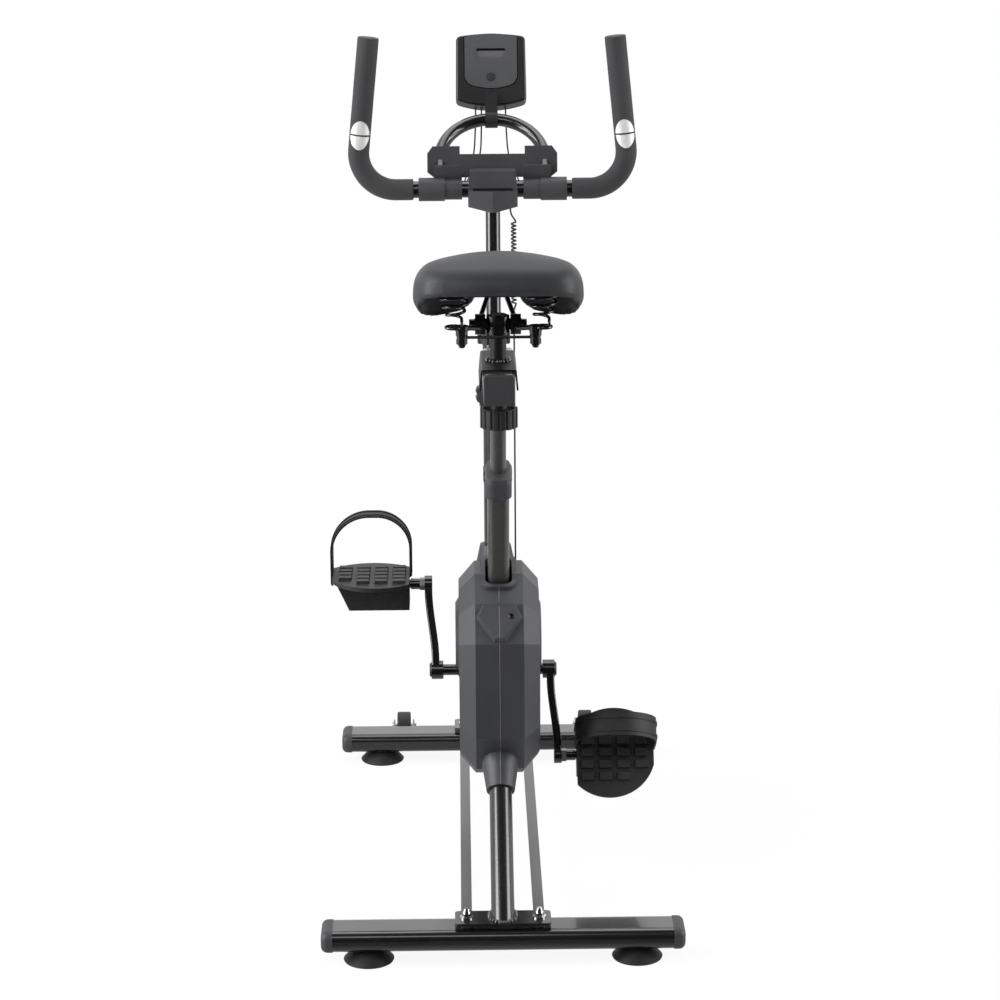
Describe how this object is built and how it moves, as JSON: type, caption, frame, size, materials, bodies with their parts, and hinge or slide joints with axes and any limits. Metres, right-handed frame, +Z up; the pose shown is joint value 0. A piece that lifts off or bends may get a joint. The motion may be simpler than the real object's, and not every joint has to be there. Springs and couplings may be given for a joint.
{
  "type": "exercise bike",
  "caption": "Upright exercise bike: belt-driven flywheel in a bevelled casing, sprung saddle on a sliding post, raised handlebar with small console, strapped pedals and wide floor stabilisers.",
  "frame": {"origin": "on the floor below the centre of the bounding box", "axes": "+Y forward, from saddle to handlebar; +X to the rider's right; +Z up"},
  "size_m": [0.5, 0.916, 1.1986],
  "materials": {
    "black_paint": "semi-gloss powder coat",
    "grey_tube": "satin dark grey coat",
    "dark_plastic": "fine moulded grain",
    "black_plastic": "moulded satin",
    "gloss_plastic": "smooth gloss",
    "rubber": "matt",
    "foam": "closed-cell foam",
    "leather": "soft grained cover",
    "steel": "brushed",
    "chrome": "polished",
    "cast_iron": "rough cast",
    "screen": "pale liquid crystal window",
    "face_grey": "satin face plate"
  },
  "bodies": {
    "frame": {"main_frame": "black_paint", "rear_stabiliser": "black_paint", "front_stabiliser": "black_paint", "stabiliser_caps": "black_plastic", "feet": "rubber", "floor_bars": "grey_tube", "stabiliser_bolts": "chrome", "stabiliser_washers": "chrome", "stabiliser_nuts": "chrome", "wheel_pins": "steel", "casing_left": "dark_plastic", "casing_right": "dark_plastic", "casing_screw": "black_paint", "seat_bushing": "black_plastic", "bracket_cups": "steel", "belt": "rubber", "tension_base": "black_plastic", "stem_bushing": "black_plastic", "coil_cord": "rubber"},
    "crank": {"crank_axle": "black_paint", "drive_pulley": "black_plastic", "crank_left": "black_paint", "crank_right": "black_paint", "crank_caps": "black_plastic", "pedal_spindles": "black_paint"},
    "left_pedal": {"pedal_left": "black_plastic", "strap_left": "rubber"},
    "right_pedal": {"pedal_right": "black_plastic", "strap_right": "rubber"},
    "flywheel_set": {"flywheel": "cast_iron", "flywheel_axle": "steel", "flywheel_pulley": "steel"},
    "left_wheel": {"wheel_left": "black_plastic"},
    "right_wheel": {"wheel_right": "black_plastic"},
    "post": {"seat_post": "black_paint", "rail_caps": "black_plastic"},
    "slider": {"seat_slider": "black_paint", "saddle_clamp": "black_paint", "saddle_rails": "black_paint", "saddle_springs": "black_paint", "saddle_bolts": "black_paint", "saddle_pan": "black_plastic", "saddle_cover": "leather"},
    "clamp_knob": {"slider_knob": "black_plastic"},
    "post_knob": {"height_knob": "black_plastic"},
    "upper_stem": {"stem": "black_paint", "clamp_cover": "dark_plastic"},
    "collar": {"stem_collar": "black_plastic"},
    "dial": {"tension_knob": "dark_plastic"},
    "bar": {"handlebar": "black_paint", "grips": "foam", "pulse_pads": "chrome", "console_loop": "black_paint", "tray": "dark_plastic", "console_bracket": "black_plastic", "console_housing": "gloss_plastic", "console_face": "face_grey", "console_screen": "screen", "console_wires": "rubber"},
    "button": {"console_button": "black_plastic"}
  },
  "joints": [
    {"name": "flywheel_spin", "type": "hinge", "parent": "frame", "child": "flywheel_set", "pos_m": [0, 0.022, 0.335], "axis": [1, 0, 0], "continuous": true},
    {"name": "crank_turn", "type": "hinge", "parent": "frame", "child": "crank", "pos_m": [0, -0.123, 0.319], "axis": [1, 0, 0], "continuous": true},
    {"name": "left_pedal_turn", "type": "hinge", "parent": "crank", "child": "left_pedal", "pos_m": [0, -0.08645, 0.43854], "axis": [1, 0, 0], "continuous": true},
    {"name": "right_pedal_turn", "type": "hinge", "parent": "crank", "child": "right_pedal", "pos_m": [0, -0.15955, 0.19946], "axis": [1, 0, 0], "continuous": true},
    {"name": "left_wheel_roll", "type": "hinge", "parent": "frame", "child": "left_wheel", "pos_m": [-0.15, 0.435, 0.037], "axis": [1, 0, 0], "continuous": true},
    {"name": "right_wheel_roll", "type": "hinge", "parent": "frame", "child": "right_wheel", "pos_m": [0.15, 0.435, 0.037], "axis": [1, 0, 0], "continuous": true},
    {"name": "seat_height", "type": "slide", "parent": "frame", "child": "post", "axis": [0, -0.2924, 0.9563], "range_m": [-0.07, 0.05]},
    {"name": "seat_reach", "type": "slide", "parent": "post", "child": "slider", "axis": [0, 1, 0], "range_m": [-0.012, 0.022]},
    {"name": "clamp_knob_turn", "type": "hinge", "parent": "slider", "child": "clamp_knob", "pos_m": [0, -0.323, 0.74], "axis": [0, 0, 1], "range_deg": [0, 360]},
    {"name": "post_knob_turn", "type": "hinge", "parent": "frame", "child": "post_knob", "pos_m": [0, -0.20954, 0.60207], "axis": [0, 0.9563, 0.2924], "range_deg": [0, 360]},
    {"name": "stem_height", "type": "slide", "parent": "frame", "child": "upper_stem", "axis": [0, 0.0671, 0.9977], "range_m": [-0.05, 0.05], "deforming": ["coil_cord"]},
    {"name": "collar_turn", "type": "hinge", "parent": "frame", "child": "collar", "pos_m": [0, 0.1465, 0.2], "axis": [0, 0.0671, 0.9977], "range_deg": [0, 90]},
    {"name": "tension_turn", "type": "hinge", "parent": "frame", "child": "dial", "pos_m": [0, 0.17779, 0.66495], "axis": [0, -0.9977, 0.0671], "range_deg": [-150, 150]},
    {"name": "bar_tilt", "type": "hinge", "parent": "upper_stem", "child": "bar", "pos_m": [0, 0.19832, 0.97], "axis": [1, 0, 0], "range_deg": [-8, 8]},
    {"name": "button_press", "type": "slide", "parent": "bar", "child": "button", "axis": [0, 0.9063, -0.4226], "range_m": [0, 0.0015], "stiffness_N_per_m": 400, "springref_m": -0.0005}
  ],
  "couplings": [
    {"joint": "crank_turn", "follows": "flywheel_spin", "ratio": 0.13333}
  ]
}
